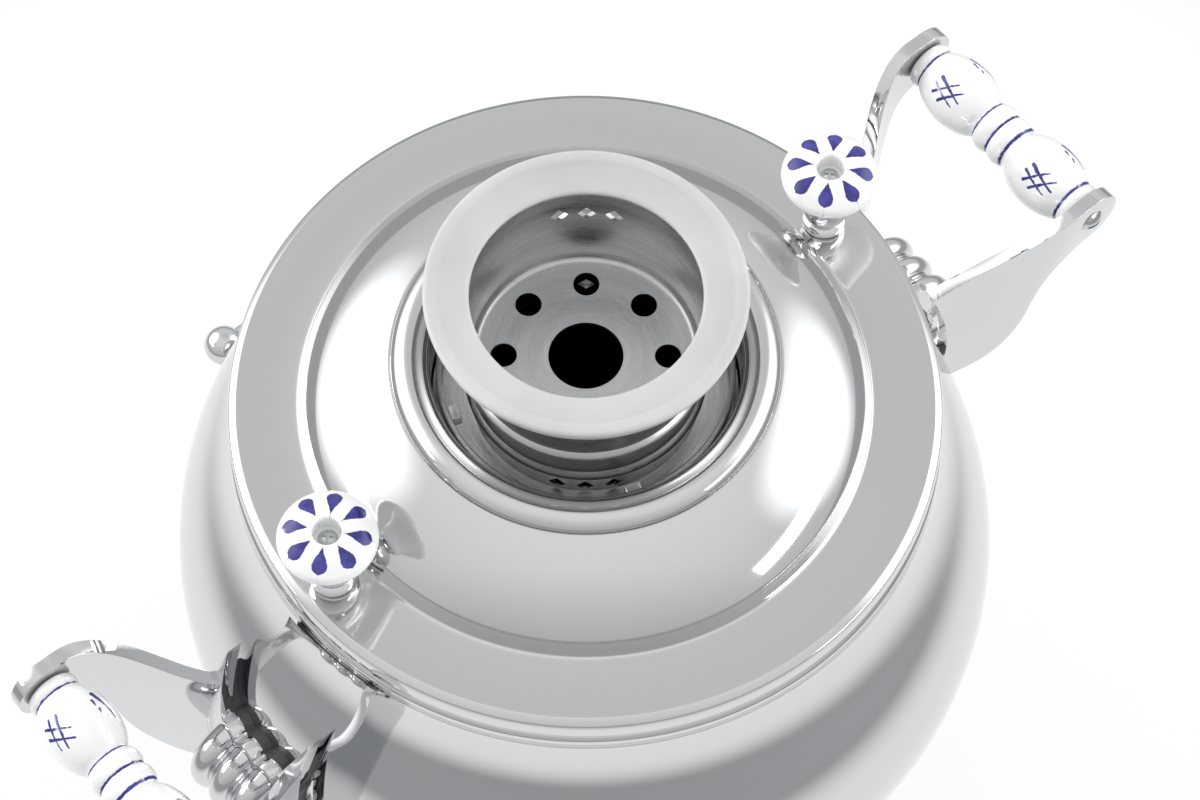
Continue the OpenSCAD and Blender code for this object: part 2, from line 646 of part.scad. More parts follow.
stem_top = rim_z + 15;
stem_top_r = 5.4;
module stem(x) {
    translate([x, 0, 0]) rotate_extrude() polygon(concat(
        [[2.2, rim_z + 0.02], [6.6, rim_z + 0.02], [6.9, rim_z + 1.4], [5, rim_z + 2.4]],
        arc([0, rim_z + 8.2], 7, -42, 48, 12),
        [[4.4, rim_z + 14], [stem_top_r, stem_top], [2.2, stem_top]]
    ));
}
module knob_stems() {
    color("gainsboro") for (s = [-1, 1]) stem(s * knob_at);
}
// The porcelain button: a low dome over a round edge, with a cone below that runs down to the stem.
module knob(s) {
    top = rim_z + knob_top;
    r = knob_d / 2;
    color("white") translate([s * knob_at, 0, 0]) rotate_extrude() polygon(concat(
        [[2.2, stem_top + 0.02], [6, stem_top + 0.02], [7.2, stem_top + 1.4]],
        curve([7.2, stem_top + 1.4], [8.4, stem_top + 5.5], [12.4, stem_top + 7.4], [r - 0.5, top - 6.6], 8),
        arc([r - 2.6, top - 5.0], 2.6, -30, 60, 8),
        curve([r - 1.3, top - 2.75], [11, top - 0.8], [8.5, top - 0.1], [5.4, top], 6),
        arc([5.2, top - 0.9], 0.9, 90, 175, 4),
        [[4.3, top - 6], [2.2, top - 6]]
    ));
}
module knob_screws() {
    top = rim_z + knob_top - 6;
    under = rim_z - lid_t - top;
    color("silver") for (s = [-1, 1]) translate([s * knob_at, 0, top]) difference() {
        union() {
            intersection() {
                translate([0, 0, -2]) sphere(r = 3.8, $fn = 48);
                cylinder(r = 2.95, h = 3, $fn = 48);
            }
            translate([0, 0, under - 4]) cylinder(r = 2, h = 4.01 - under, $fn = 48);
            translate([0, 0, under - 3.2]) cylinder(r = 4, h = 3.15, $fn = 6);
        }
        for (a = [45, 135]) rotate([0, 0, a]) translate([-2, -0.35, 0.7]) cube([4, 0.7, 3]);
    }
}

// Steam crown.
cup_t = 1.2;
lip_r = neck_r - 1.6;
crown_foot = ledge_z + gap;
ring_in = 34.1;
ring_out = 47.6;
seat_z = rim_z + crown_top - 4;
seat_r = 43;
// Beads run round the cup's outside, one above the other.
function beads(r, z0, pitch, count) = [for (k = [0:count - 1]) for (i = [0:6])
    [r + 1.5 * sin(i * 30), z0 + pitch * k + 5 * i / 6]];
module crown_cup() {
    out_r = cup_r + cup_t;
    z0 = crown_foot;
    color("silver") difference() {
        rotate_extrude() polygon(concat(
            [[cup_r, z0], [lip_r, z0], [lip_r, rim_z + 17], [lip_r - 0.8, rim_z + 18], [lip_r - 1.6, rim_z + 17],
             [lip_r - 1.6, z0 + cup_t], [out_r, z0 + cup_t]],
            beads(out_r, rim_z + 12, 12.5, 2),
            [[out_r, rim_z + 42], [out_r + 0.2, seat_z - 14.6], [out_r + 1.2, seat_z - 7.4], [out_r + 4.1, seat_z - 0.7],
             [seat_r, seat_z + 0.48], [seat_r, seat_z + 1.68], [cup_r + 4, seat_z + 0.2], [cup_r + 2.2, seat_z - 2.5],
             [cup_r + 0.5, seat_z - 7], [cup_r, seat_z - 15]]
        ));
        for (g = [0, 180]) for (k = [-1:1]) rotate([0, 0, vent_turn + 90 + g + k * 13.8]) {
            diamond(seat_z - 11);
            diamond(z0 + 4.6);
        }
    }
}
vent_turn = 140.2;
module diamond(z) {
    translate([0, 0, z]) rotate([90, 0, 90]) translate([0, 0, cup_r - 6]) linear_extrude(height = 12)
        polygon([[-2.8, 0], [0, -2.8], [2.8, 0], [0, 2.8]]);
}
module crown_floor() {
    color("silver") difference() {
        ring(cup_r - 0.02, vent_r, rim_z + cup_floor - cup_t, rim_z + cup_floor);
        for (k = [0:vent_count - 1]) rotate([0, 0, vent_turn + k * 360 / vent_count]) translate([24.7, 0, rim_z]) cylinder(r = 4, h = 60, $fn = 48);
    }
}
// Square locking studs inside the crown's outer lip.
module crown_studs() {
    color("silver") for (k = [0:3]) rotate([0, 0, vent_turn - 70 + k * 90])
        translate([lip_r - 5, -2.4, rim_z + 10.5]) cube([3.28, 4.8, 4.6]);
}
// The soft ring that a teapot stands on: it grips the cup's flange, and has a thin lip round its edge.
module silicone_ring() {
    top = rim_z + crown_top;
    color("whitesmoke") rotate_extrude() polygon(concat(
        [[seat_r - 2.5, seat_z - 0.5], [seat_r - 2.4, seat_z - 1.5], [seat_r + 1.5, seat_z - 1.6], [seat_r + 3.6, seat_z - 1.1]],
        arc([ring_out - 1.2, top - 1.3], 1.2, -20, 90, 6),
        [[seat_r + 1.2, top - 0.1], [seat_r + 0.4, top - 0.7], [seat_r, top - 0.9]],
        [[ring_in + 1.9, top - 2.3], [ring_in + 0.7, top - 2.5], [ring_in, top - 3.1], [ring_in, top - 4.1],
         [ring_in + 3.9, seat_z + 0.4], [seat_r + 0.05, seat_z + 1.85], [seat_r + 0.05, seat_z + 0.4]]
    ));
}

body_shell();
collar_ring();
tank_floor();
heating_element();
element_seals();
element_nuts();
thermal_cutout();
base_pedestal();
base_ring();
bottom_plate();
bottom_screws();
foot_ring();
thermostat();
pilot_lens();
pilot_bezel();
dial();
inlet_housing();
inlet_pins();
inlet_screws();
tap_body();
tap_gasket();
tap_rosette();
tap_inner_nut();
tap_cap_nut();
tap_plug();
tap_plug_nut();
tap_key_bar();
tap_key_balls();
for (side = SIDES) on_side(side) {
    arm(true);
    arm(false);
    escutcheon();
    handle_gasket();
    boss();
    grip();
    grip_rod();
    grip_screws();
}
lid_shell();
lid_skirt();
lid_seal();
neck_ring();
knob_stems();
knob(1);  // right_knob
knob(-1);  // left_knob
knob_screws();
crown_cup();
crown_floor();
crown_studs();
silicone_ring();
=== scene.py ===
import json
import math

import bmesh
import bpy
from mathutils import Matrix, Vector

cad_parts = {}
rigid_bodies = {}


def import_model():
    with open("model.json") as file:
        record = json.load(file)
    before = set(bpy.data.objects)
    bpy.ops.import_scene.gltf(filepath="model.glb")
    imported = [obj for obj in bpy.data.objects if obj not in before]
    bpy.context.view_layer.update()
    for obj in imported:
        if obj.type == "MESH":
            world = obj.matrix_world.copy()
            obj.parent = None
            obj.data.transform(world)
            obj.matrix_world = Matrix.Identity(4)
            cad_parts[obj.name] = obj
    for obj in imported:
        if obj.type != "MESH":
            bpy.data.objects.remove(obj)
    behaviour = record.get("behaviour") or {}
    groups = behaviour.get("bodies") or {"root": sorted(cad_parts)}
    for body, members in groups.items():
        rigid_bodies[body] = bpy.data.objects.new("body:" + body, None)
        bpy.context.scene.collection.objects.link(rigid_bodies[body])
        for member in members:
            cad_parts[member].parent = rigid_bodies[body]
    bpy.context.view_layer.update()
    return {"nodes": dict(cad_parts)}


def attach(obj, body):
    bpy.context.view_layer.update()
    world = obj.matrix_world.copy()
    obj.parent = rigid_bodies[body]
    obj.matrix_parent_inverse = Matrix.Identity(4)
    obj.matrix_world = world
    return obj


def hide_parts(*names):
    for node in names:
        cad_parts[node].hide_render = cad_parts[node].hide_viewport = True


for leftover in list(bpy.data.objects):
    bpy.data.objects.remove(leftover)

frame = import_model()
mm = 0.001
rimZ = 295  # the lid's rim line, which every height of the lid and crown is taken from
print("frame loaded,", len(frame["nodes"]), "nodes")

# camera: a long lens looking down on the lid from behind
camera = {"place": (0.31151, 0.37389, 1.21281), "turn": (27.8263, -0.3752, 140.3899), "lens": 101.684}
cameraData = bpy.data.cameras.new("camera")
cameraData.lens = camera["lens"]
cameraData.sensor_width = 36
cameraObject = bpy.data.objects.new("camera", cameraData)
cameraObject.location = camera["place"]
cameraObject.rotation_euler = [math.radians(a) for a in camera["turn"]]
bpy.context.scene.collection.objects.link(cameraObject)
bpy.context.scene.camera = cameraObject
print("camera set")


def linearColour(hexText):
    channels = [int(hexText[i:i + 2], 16) / 255 for i in (0, 2, 4)]
    return [c / 12.92 if c <= 0.04045 else ((c + 0.055) / 1.055) ** 2.4 for c in channels] + [1.0]


# adds a shader node with its settings, its links and, for a colour ramp, its stops
def addNode(tree, kind, inputs=None, stops=None, **settings):
    made = tree.nodes.new("ShaderNode" + kind)
    for name, value in settings.items():
        setattr(made, name, value)
    if stops:
        while len(made.color_ramp.elements) < len(stops):
            made.color_ramp.elements.new(0.5)
        for element, (position, colour) in zip(made.color_ramp.elements, stops):
            element.position = position
            element.color = colour if isinstance(colour, list) else [colour, colour, colour, 1]
    for socket, value in (inputs or {}).items():
        if isinstance(value, bpy.types.Node):
            value = value.outputs[0]
        if isinstance(value, bpy.types.NodeSocket):
            tree.links.new(value, made.inputs[socket])
        else:
            made.inputs[socket].default_value = value
    return made


def newMaterial(name):
    material = bpy.data.materials.new(name)
    material.use_nodes = True
    material.node_tree.nodes.clear()
    return material, material.node_tree


def shaded(colour, share):
    return [c * share for c in colour[:3]] + [1]


# polished stainless sheet: a mirror with a faint haze left by the last buffing wheel
def polishedSteel(name, colour, haze, wave):
    material, tree = newMaterial(name)
    place = addNode(tree, "TexCoord")
    smears = addNode(tree, "TexNoise", {"Vector": place.outputs["Object"], "Scale": 22.0, "Detail": 4.0})
    roughness = addNode(tree, "MapRange",
                        {"Value": smears, "From Min": 0.3, "From Max": 0.75, "To Min": haze * 0.75,
                         "To Max": haze * 1.35})
    ripple = addNode(tree, "TexNoise", {"Vector": place.outputs["Object"], "Scale": 30.0, "Detail": 1.0})
    bump = addNode(tree, "Bump", {"Height": ripple, "Strength": 0.06, "Distance": wave})
    shader = addNode(tree, "BsdfPrincipled",
                     {"Base Color": linearColour(colour), "Metallic": 1.0,
                      "Roughness": roughness.outputs["Result"], "Normal": bump})
    addNode(tree, "OutputMaterial", {"Surface": shader})
    return material


# brushed stainless: fine rings round the urn's axis, drawn about 0.5 mm apart so that they show
def brushedSteel(name, colour):
    material, tree = newMaterial(name)
    place = addNode(tree, "TexCoord")
    parts = addNode(tree, "SeparateXYZ", {"Vector": place.outputs["Object"]})
    flat = addNode(tree, "CombineXYZ", {"X": parts.outputs["X"], "Y": parts.outputs["Y"]})
    radius = addNode(tree, "VectorMath", {0: flat}, operation="LENGTH")
    angle = addNode(tree, "Math", {0: parts.outputs["Y"], 1: parts.outputs["X"]}, operation="ARCTAN2")
    slowAngle = addNode(tree, "Math", {0: angle, 1: 0.0016}, operation="MULTIPLY")
    grain = addNode(tree, "CombineXYZ",
                    {"X": radius.outputs["Value"], "Y": slowAngle, "Z": parts.outputs["Z"]})
    lines = addNode(tree, "TexNoise", {"Vector": grain, "Scale": 2600.0, "Detail": 3.0, "Roughness": 0.65})
    broad = addNode(tree, "TexNoise", {"Vector": grain, "Scale": 420.0, "Detail": 2.0})
    roughness = addNode(tree, "MapRange",
                        {"Value": lines, "From Min": 0.3, "From Max": 0.7, "To Min": 0.22, "To Max": 0.4})
    light, dark = linearColour(colour), shaded(linearColour(colour), 0.86)
    shade = addNode(tree, "ValToRGB", {"Fac": broad}, stops=[(0.3, dark), (0.7, light)])
    bump = addNode(tree, "Bump", {"Height": lines, "Strength": 0.35, "Distance": 0.00004})
    shader = addNode(tree, "BsdfPrincipled",
                     {"Base Color": shade, "Metallic": 1.0, "Roughness": roughness.outputs["Result"],
                      "Normal": bump})
    addNode(tree, "OutputMaterial", {"Surface": shader})
    return material


# turned or plated metal of small parts, with tool marks about 0.4 mm apart
def turnedMetal(name, colour, roughLow, roughHigh):
    material, tree = newMaterial(name)
    place = addNode(tree, "TexCoord")
    marks = addNode(tree, "TexNoise", {"Vector": place.outputs["Object"], "Scale": 2400.0, "Detail": 2.0})
    stain = addNode(tree, "TexNoise", {"Vector": place.outputs["Object"], "Scale": 160.0, "Detail": 3.0})
    roughness = addNode(tree, "MapRange",
                        {"Value": stain, "From Min": 0.3, "From Max": 0.7, "To Min": roughLow,
                         "To Max": roughHigh})
    base = linearColour(colour)
    shade = addNode(tree, "ValToRGB", {"Fac": stain}, stops=[(0.3, shaded(base, 0.78)), (0.65, base)])
    bump = addNode(tree, "Bump", {"Height": marks, "Strength": 0.25, "Distance": 0.00003})
    shader = addNode(tree, "BsdfPrincipled",
                     {"Base Color": shade, "Metallic": 1.0, "Roughness": roughness.outputs["Result"],
                      "Normal": bump})
    addNode(tree, "OutputMaterial", {"Surface": shader})
    return material


# moulded rubber, silicone or plastic: a fine mould texture over a slightly uneven colour
def mouldedSurface(name, colour, rough, grainSize, bumpHeight, **sockets):
    material, tree = newMaterial(name)
    place = addNode(tree, "TexCoord")
    grain = addNode(tree, "TexNoise",
                    {"Vector": place.outputs["Object"], "Scale": 1 / (grainSize * mm), "Detail": 3.0})
    cloud = addNode(tree, "TexNoise", {"Vector": place.outputs["Object"], "Scale": 35.0, "Detail": 3.0})
    base = linearColour(colour)
    shade = addNode(tree, "ValToRGB", {"Fac": cloud}, stops=[(0.3, shaded(base, 0.9)), (0.7, base)])
    roughness = addNode(tree, "MapRange",
                        {"Value": grain, "From Min": 0.3, "From Max": 0.7, "To Min": rough * 0.85,
                         "To Max": min(1, rough * 1.15)})
    bump = addNode(tree, "Bump", {"Height": grain, "Strength": 0.3, "Distance": bumpHeight * mm})
    settings = {"Base Color": shade, "Roughness": roughness.outputs["Result"], "Normal": bump}
    settings.update({key.replace("_", " "): value for key, value in sockets.items()})
    shader = addNode(tree, "BsdfPrincipled", settings)
    addNode(tree, "OutputMaterial", {"Surface": shader})
    return material


# the cobalt's two strengths, and what the brush draws with it: petalWidth is a share of the knob's radius,
# the lines are in mm, and the shakes of the hand in metres
paint = {
    "deep": "1d1872", "thin": "3d3aa4", "petals": 8, "petalTurn": 26.5, "petalWidth": 0.158,
    "petalStops": [(0.37, 0.0), (0.5, 0.36), (0.63, 0.76), (0.72, 0.98), (0.79, 0.95), (0.85, 0.66),
                   (0.895, 0.0)],
    "lineHalfWidth": 0.45, "gripLines": (6.6, 33.1), "petalShake": 0.0006, "lineShake": -0.0007}


# glazed white porcelain with cobalt under the glaze: mask is where the brush went, and load how much
# colour it left there
def porcelain(name, makeMask):
    material, tree = newMaterial(name)
    place = addNode(tree, "TexCoord")
    wobble = addNode(tree, "TexNoise", {"Vector": place.outputs["Object"], "Scale": 700.0, "Detail": 2.0})
    mask = makeMask(tree, place.outputs["Object"], wobble)
    cloud = addNode(tree, "TexNoise", {"Vector": place.outputs["Object"], "Scale": 60.0, "Detail": 3.0})
    body = addNode(tree, "ValToRGB", {"Fac": cloud},
                   stops=[(0.3, linearColour("eef0f0")), (0.7, linearColour("f8f8f7"))])
    load = addNode(tree, "TexNoise", {"Vector": place.outputs["Object"], "Scale": 330.0, "Detail": 3.0})
    cobalt = addNode(tree, "ValToRGB", {"Fac": load},
                     stops=[(0.42, linearColour(paint["deep"])), (0.78, linearColour(paint["thin"]))])
    # sockets 6 and 7 are the two colours
    colour = addNode(tree, "Mix", {0: mask, 6: body, 7: cobalt}, data_type="RGBA")
    glaze = addNode(tree, "TexNoise", {"Vector": place.outputs["Object"], "Scale": 140.0, "Detail": 1.0})
    bump = addNode(tree, "Bump", {"Height": glaze, "Strength": 0.12, "Distance": 0.0002})
    shader = addNode(tree, "BsdfPrincipled", {
        "Base Color": colour.outputs[2], "Roughness": 0.16, "IOR": 1.5, "Normal": bump,
        "Coat Weight": 0.6, "Coat Roughness": 0.04,
        "Subsurface Weight": 0.08, "Subsurface Radius": (0.002, 0.002, 0.002), "Subsurface Scale": 1.0})
    addNode(tree, "OutputMaterial", {"Surface": shader})
    return material


knob = {"at": 97.3, "radius": 15.0, "top": rimZ + 32, "stemTop": rimZ + 15}


# a ring of teardrop petals, with their points towards the screw
def petalMask(tree, place, wobble):
    parts = addNode(tree, "SeparateXYZ", {"Vector": place})
    side = addNode(tree, "Math", {0: parts.outputs["X"]}, operation="SIGN")
    x = addNode(tree, "Math", {0: side, 1: -knob["at"] * mm, 2: parts.outputs["X"]},
                operation="MULTIPLY_ADD")
    flat = addNode(tree, "CombineXYZ", {"X": x, "Y": parts.outputs["Y"]})
    radius = addNode(tree, "VectorMath", {0: flat}, operation="LENGTH").outputs["Value"]
    angle = addNode(tree, "Math", {0: parts.outputs["Y"], 1: x}, operation="ARCTAN2")
    turned = addNode(tree, "Math", {0: angle, 1: math.radians(paint["petalTurn"])}, operation="ADD")
    counted = addNode(tree, "Math", {0: turned, 1: paint["petals"] / math.tau}, operation="MULTIPLY")
    share = addNode(tree, "Math", {0: counted}, operation="FRACT")
    local = addNode(tree, "Math", {0: share, 1: math.tau / paint["petals"], 2: -math.pi / paint["petals"]},
                    operation="MULTIPLY_ADD")
    sine = addNode(tree, "Math", {0: local}, operation="SINE")
    cosine = addNode(tree, "Math", {0: local}, operation="COSINE")
    across = addNode(tree, "Math", {0: radius, 1: sine}, operation="MULTIPLY")
    distance = addNode(tree, "Math", {0: across}, operation="ABSOLUTE")
    along = addNode(tree, "Math", {0: radius, 1: cosine}, operation="MULTIPLY")
    alongShare = addNode(tree, "Math", {0: along, 1: knob["radius"] * mm}, operation="DIVIDE")
    width = addNode(tree, "ValToRGB", {"Fac": alongShare}, stops=paint["petalStops"])
    halfWidth = addNode(tree, "Math", {0: width, 1: paint["petalWidth"] * knob["radius"] * mm},
                        operation="MULTIPLY")
    inside = addNode(tree, "Math", {0: halfWidth, 1: distance}, operation="SUBTRACT")
    shaken = addNode(tree, "Math", {0: wobble, 1: paint["petalShake"], 2: inside}, operation="MULTIPLY_ADD")
    petals = addNode(tree, "MapRange", {"Value": shaken, "From Min": 0.00024, "From Max": 0.00038})
    onTop = addNode(tree, "Math", {0: parts.outputs["Z"], 1: (knob["top"] - 5) * mm},
                    operation="GREATER_THAN")
    return addNode(tree, "Math", {0: petals.outputs["Result"], 1: onTop}, operation="MULTIPLY")


grip = {"at": 179.1, "z": rimZ - 31.9, "half": 37.5, "bore": 2.7, "bulgeAt": 22.0, "paintedRadius": 11.0,
        "rodHole": 2.6}
# brush strokes on each bulge, in mm: start across and along the grip, end across and along, half the width
brushStrokes = [
    (7.9, -4.2, 10.8, 5.4, 0.5), (5.2, -3.4, 8.2, 6.8, 0.66),
    (10.9, -3.0, 3.6, 2.9, 0.5), (11.9, 0.2, 4.4, 6.2, 0.56),
    (-8.2, -3.0, -10.6, 6.8, 0.85), (-6.4, -0.6, -6.2, 1.4, 0.5),
    (-6.7, 3.0, -6.3, 4.2, 0.45), (-12.4, -4.0, -12.6, 0.6, 0.4)]


# thin lines round the grip, and a few brush strokes on each bulge
def stripeMask(tree, place, wobble):
    parts = addNode(tree, "SeparateXYZ", {"Vector": place})
    sign = addNode(tree, "Math", {0: parts.outputs["X"]}, operation="SIGN")
    x = addNode(tree, "Math", {0: sign, 1: -grip["at"] * mm, 2: parts.outputs["X"]},
                operation="MULTIPLY_ADD")
    z = addNode(tree, "Math", {0: parts.outputs["Z"], 1: grip["z"] * mm}, operation="SUBTRACT")
    angle = addNode(tree, "Math", {0: x, 1: z}, operation="ARCTAN2")
    around = addNode(tree, "Math", {0: angle, 1: grip["paintedRadius"] * mm}, operation="MULTIPLY")
    length = addNode(tree, "Math", {0: parts.outputs["Y"]}, operation="ABSOLUTE")
    nearest = length
    for line in paint["gripLines"]:
        offset = addNode(tree, "Math", {0: length, 1: line * mm}, operation="SUBTRACT")
        gap = addNode(tree, "Math", {0: offset}, operation="ABSOLUTE")
        nearest = addNode(tree, "Math", {0: nearest, 1: gap}, operation="MINIMUM")
    painted = addNode(tree, "Math", {0: nearest, 1: paint["lineHalfWidth"] * mm}, operation="SUBTRACT")
    end = addNode(tree, "Math", {0: parts.outputs["Y"]}, operation="SIGN")
    middle = addNode(tree, "Math", {0: end, 1: -grip["bulgeAt"] * mm, 2: parts.outputs["Y"]},
                     operation="MULTIPLY_ADD")
    spot = addNode(tree, "CombineXYZ", {"X": around, "Y": middle})
    for x0, y0, x1, y1, half in brushStrokes:
        way = Vector((x1 - x0, y1 - y0, 0)) * mm
        fromStart = addNode(tree, "VectorMath", {0: spot, 1: (x0 * mm, y0 * mm, 0)}, operation="SUBTRACT")
        dot = addNode(tree, "VectorMath", {0: fromStart, 1: way}, operation="DOT_PRODUCT").outputs["Value"]
        share = addNode(tree, "Math", {0: dot, 1: 1 / way.length_squared}, operation="MULTIPLY",
                        use_clamp=True)
        foot = addNode(tree, "VectorMath", {0: way, "Scale": share}, operation="SCALE")
        away = addNode(tree, "VectorMath", {0: fromStart, 1: foot}, operation="DISTANCE").outputs["Value"]
        taper = addNode(tree, "Math", {0: share, 1: 0.55 * half * mm, 2: -half * mm},
                        operation="MULTIPLY_ADD")
        stroke = addNode(tree, "Math", {0: away, 1: taper}, operation="ADD")
        painted = addNode(tree, "Math", {0: painted, 1: stroke}, operation="MINIMUM")
    shaken = addNode(tree, "Math", {0: wobble, 1: paint["lineShake"], 2: painted}, operation="MULTIPLY_ADD")
    return addNode(tree, "MapRange",
                   {"Value": shaken, "From Min": -0.00044, "From Max": -0.00026, "To Min": 1.0,
                    "To Max": 0.0}).outputs["Result"]


finishes = {
    "chrome": polishedSteel("polishedStainless", "d3d4d5", 0.06, 0.0006),
    "cast_chrome": polishedSteel("chromePlatedCasting", "d3d4d6", 0.04, 0.0004),
    "brushed_steel": brushedSteel("brushedStainless", "c9cacb"),
    "porcelain": porcelain("paintedPorcelainKnob", petalMask),
    "silicone": mouldedSurface("whiteSilicone", "cdcfd0", 0.36, 0.5, 0.02, Subsurface_Weight=0.6,
                               Subsurface_Radius=(0.004, 0.004, 0.004), Subsurface_Scale=1.0, IOR=1.41),
    "red_silicone": mouldedSurface("redSilicone", "b5543a", 0.5, 0.5, 0.02, Subsurface_Weight=0.2,
                                   Subsurface_Radius=(0.002, 0.001, 0.001), Subsurface_Scale=1.0, IOR=1.41),
    "gasket_grey": mouldedSurface("greyRubberGasket", "4b4c4d", 0.5, 0.6, 0.05),
    "brass": turnedMetal("turnedBrass", "cfa75c", 0.16, 0.32),
    "zinc_screws": turnedMetal("zincPlatedSteel", "d3d6d8", 0.12, 0.28),
    "heater_sheath": turnedMetal("oxidisedHeaterSheath", "77716b", 0.3, 0.5),
    "black_plastic": mouldedSurface("blackMouldedPlastic", "1c1c1e", 0.38, 0.5, 0.04, IOR=1.5),
    "ceramic": mouldedSurface("unglazedSteatite", "e6dfcc", 0.7, 0.4, 0.05, IOR=1.55),
    "black_rubber": mouldedSurface("blackRubberFoot", "202021", 0.7, 0.7, 0.08),
    "lens": mouldedSurface("redLampLens", "d8391c", 0.12, 3.0, 0.02, Transmission_Weight=0.5, IOR=1.49),
}
paintedGrip = porcelain("paintedPorcelainGrip", stripeMask)
# the tank's inside: dull steel whose very dark colour is painted shade, standing in for the shade inside
# the closed tank
tankInside = turnedMetal("pickledSteelInside", "3c3c3b", 0.5, 0.65)
for node in frame["nodes"].values():
    for holder in node.material_slots:
        holder.material = finishes[holder.material.name.split(".")[0]]
# what is inside the tank gets the same dull finish as its walls, with a very dark colour that is painted
# shade of the closed tank
for name in ("tank_floor", "lid_skirt", "heating_element"):
    frame["nodes"][name].material_slots[0].material = tankInside
print("materials made,", len(bpy.data.materials))


def bezierPoints(a, b, c, d, count):
    made = []
    for i in range(1, count + 1):
        u = i / count
        made.append(tuple((1 - u) ** 3 * p + 3 * u * (1 - u) ** 2 * q + 3 * u * u * (1 - u) * r +
                          u ** 3 * s for p, q, r, s in zip(a, b, c, d)))
    return made


def arcPoints(centre, radius, start, end, count):
    angles = [math.radians(start + (end - start) * i / count) for i in range(count + 1)]
    return [(centre[0] + radius * math.cos(a), centre[1] + radius * math.sin(a)) for a in angles]


# spins an outline of (radius, height) points, in mm, once round the Z axis
def spinOutline(outline, steps=192, closed=True):
    bm = bmesh.new()
    corners = [bm.verts.new((radius * mm, 0, height * mm)) for radius, height in outline]
    pairs = list(zip(corners, corners[1:])) + ([(corners[-1], corners[0])] if closed else [])
    edges = [bm.edges.new(pair) for pair in pairs]
    bmesh.ops.spin(bm, geom=corners + edges, cent=(0, 0, 0), axis=(0, 0, 1), angle=math.tau, steps=steps,
                   use_merge=True)
    bmesh.ops.remove_doubles(bm, verts=bm.verts, dist=1e-6)
    bmesh.ops.recalc_face_normals(bm, faces=bm.faces)
    return bm


def roundEdges(bm, width, angle=35, segments=3):
    sharp = [e for e in bm.edges if len(e.link_faces) == 2 and e.calc_face_angle() > math.radians(angle)]
    bmesh.ops.bevel(bm, geom=sharp, offset=width * mm, offset_type="OFFSET", segments=segments, profile=0.5,
                    affect="EDGES", material=-1, clamp_overlap=True)


def makeMesh(name, bm, sharp=38):
    mesh = bpy.data.meshes.new(name)
    bm.to_mesh(mesh)
    bm.free()
    mesh.polygons.foreach_set("use_smooth", [True] * len(mesh.polygons))
    mesh.set_sharp_from_angle(angle=math.radians(sharp))
    return mesh


def placePiece(name, bm, body, slotName, nodes, material=None, sharp=38):
    piece = bpy.data.objects.new(name, makeMesh(name, bm, sharp))
    bpy.context.scene.collection.objects.link(piece)
    piece.data.materials.append(material or finishes[slotName])
    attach(piece, body)
    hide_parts(*nodes)
    return piece


# cuts the cutter shapes out of a piece for good
def cutAway(piece, cutterBm, sharp=38):
    cutter = bpy.data.objects.new("cutter", makeMesh("cutter", cutterBm))
    bpy.context.scene.collection.objects.link(cutter)
    cut = piece.modifiers.new("cut", "BOOLEAN")
    cut.operation = "DIFFERENCE"
    cut.solver = "EXACT"
    cut.object = cutter
    bpy.context.view_layer.update()
    ready = piece.evaluated_get(bpy.context.evaluated_depsgraph_get())
    mesh = bpy.data.meshes.new_from_object(ready)
    piece.modifiers.clear()
    mesh.materials.clear()
    mesh.materials.append(piece.data.materials[0])
    mesh.polygons.foreach_set("material_index", [0] * len(mesh.polygons))
    mesh.polygons.foreach_set("use_smooth", [True] * len(mesh.polygons))
    mesh.set_sharp_from_angle(angle=math.radians(sharp))
    piece.data = mesh
    bpy.data.objects.remove(cutter)


# turns a flat sheet into a plate between two mapped faces
def thickenSheet(bm, innerFace, outerFace):
    made = bmesh.ops.extrude_face_region(bm, geom=bm.faces[:], use_keep_orig=True)
    lifted = {v for v in made["geom"] if isinstance(v, bmesh.types.BMVert)}
    for v in bm.verts:
        v.co = outerFace(v.co) if v in lifted else innerFace(v.co)
    bmesh.ops.recalc_face_normals(bm, faces=bm.faces)


# a flat face from an outline in mm, cut across at even steps so that it can be bent
def flatSheet(outline, axisA, axisB, cuts):
    bm = bmesh.new()
    corners = [bm.verts.new([(a * axisA[i] + b * axisB[i]) * mm for i in range(3)]) for a, b in outline]
    bm.faces.new(corners)
    for axis, start, stop, step in cuts:
        place = start
        while place < stop:
            bmesh.ops.bisect_plane(bm, geom=bm.verts[:] + bm.edges[:] + bm.faces[:], dist=1e-7,
                                   plane_co=[c * place * mm for c in axis], plane_no=axis)
            place += step
    return bm


urn = {"bellyRadius": 133.7, "bellyHalfHeight": 105.2, "bellyZ": 198.5, "waistRadius": 55.0,
       "shoulderZ": 245.0,
       "coveTop": (109.4, 278.0), "wall": 1.6}


# the urn's outline, moved outwards by offset
def urnOutline(offset, bellySteps=72, coveSteps=20):
    a, b, z = urn["bellyRadius"], urn["bellyHalfHeight"], urn["bellyZ"]
    low = -math.acos(urn["waistRadius"] / a)
    high = math.asin((urn["shoulderZ"] - z) / b)
    made = []
    for i in range(bellySteps + 1):
        t = low + (high - low) * i / bellySteps
        out = Vector((math.cos(t) / a, math.sin(t) / b)).normalized()
        made.append((a * math.cos(t) + offset * out.x, z + b * math.sin(t) + offset * out.y))
    start = Vector((a * math.cos(high), z + b * math.sin(high)))
    rise = Vector((-a * math.sin(high), b * math.cos(high))).normalized()
    end = Vector(urn["coveTop"])
    curve = bezierPoints(start, start + 12 * rise, end - Vector((0, 13)), end, coveSteps * 4)
    for i in range(3, coveSteps * 4, 4):
        before, after = Vector(curve[i - 1]), Vector(curve[min(i + 1, coveSteps * 4 - 1)])
        way = (after - before).normalized()
        made.append((curve[i][0] + offset * way.y, curve[i][1] - offset * way.x))
    return made


